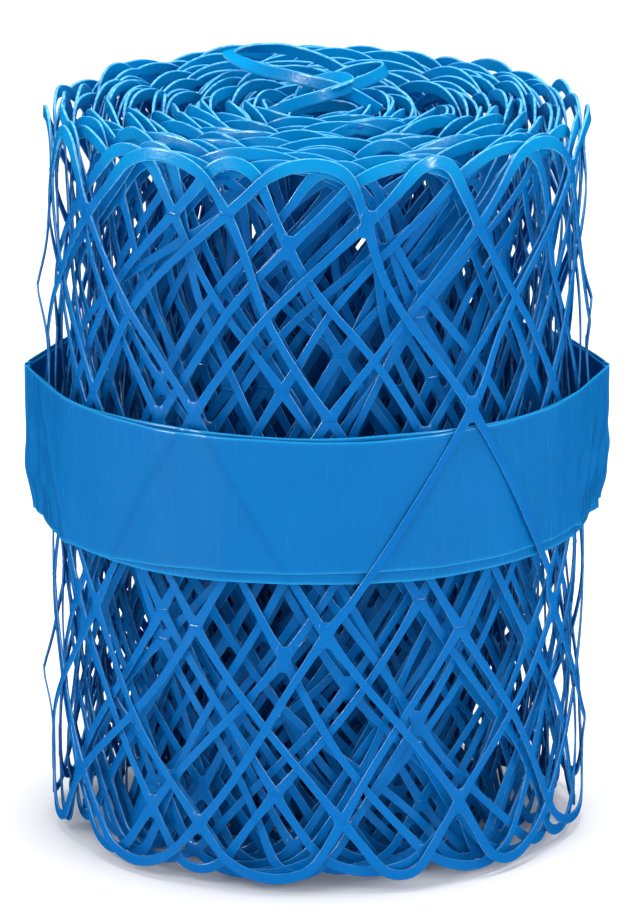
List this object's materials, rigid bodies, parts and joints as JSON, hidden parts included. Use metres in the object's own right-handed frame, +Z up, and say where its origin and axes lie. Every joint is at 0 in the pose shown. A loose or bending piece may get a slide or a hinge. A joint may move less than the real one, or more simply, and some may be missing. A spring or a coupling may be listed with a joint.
{
  "type": "roll of tree guard net tube",
  "caption": "Upright roll of extruded plastic net tube for tree guards, laid flat, wound round an open eye and held by two sliding film bands.",
  "frame": {"origin": "middle of the roll, on the surface that it stands on", "axes": "+Z up along the roll's axis, -Y towards the front, +X to the right as seen from the front, where the bands' creased ears point"},
  "size_m": [0.2346, 0.2222, 0.3],
  "materials": {
    "net": "extruded blue polyethylene, glossy",
    "band_film": "blown blue polyethylene film, satin gloss"
  },
  "bodies": {
    "roll": {"outer_end": "net", "net_turn_01": "net", "net_turn_02": "net", "net_turn_03": "net", "net_turn_04": "net", "net_turn_05": "net", "net_turn_06": "net", "net_turn_07": "net", "net_turn_08": "net", "net_turn_09": "net", "net_turn_10": "net", "net_turn_11": "net", "net_turn_12": "net", "net_turn_13": "net", "net_turn_14": "net", "net_turn_15": "net", "net_turn_16": "net", "net_turn_17": "net", "net_turn_18": "net", "net_turn_19": "net", "net_turn_20": "net", "net_turn_21": "net", "net_turn_22": "net", "net_turn_23": "net", "net_turn_24": "net", "net_turn_25": "net", "net_turn_26": "net", "net_turn_27": "net", "net_turn_28": "net", "net_turn_29": "net", "net_turn_30": "net", "net_turn_31": "net", "net_turn_32": "net", "inner_end": "net"},
    "inner_band": {"inner_band": "band_film"},
    "outer_band": {"outer_band": "band_film"}
  },
  "joints": [
    {"name": "inner_band_slide", "type": "slide", "parent": "roll", "child": "inner_band", "axis": [0, 0, 1], "range_m": [-0.12, 0.18]},
    {"name": "outer_band_slide", "type": "slide", "parent": "roll", "child": "outer_band", "axis": [0, 0, 1], "range_m": [-0.12, 0.18]}
  ]
}
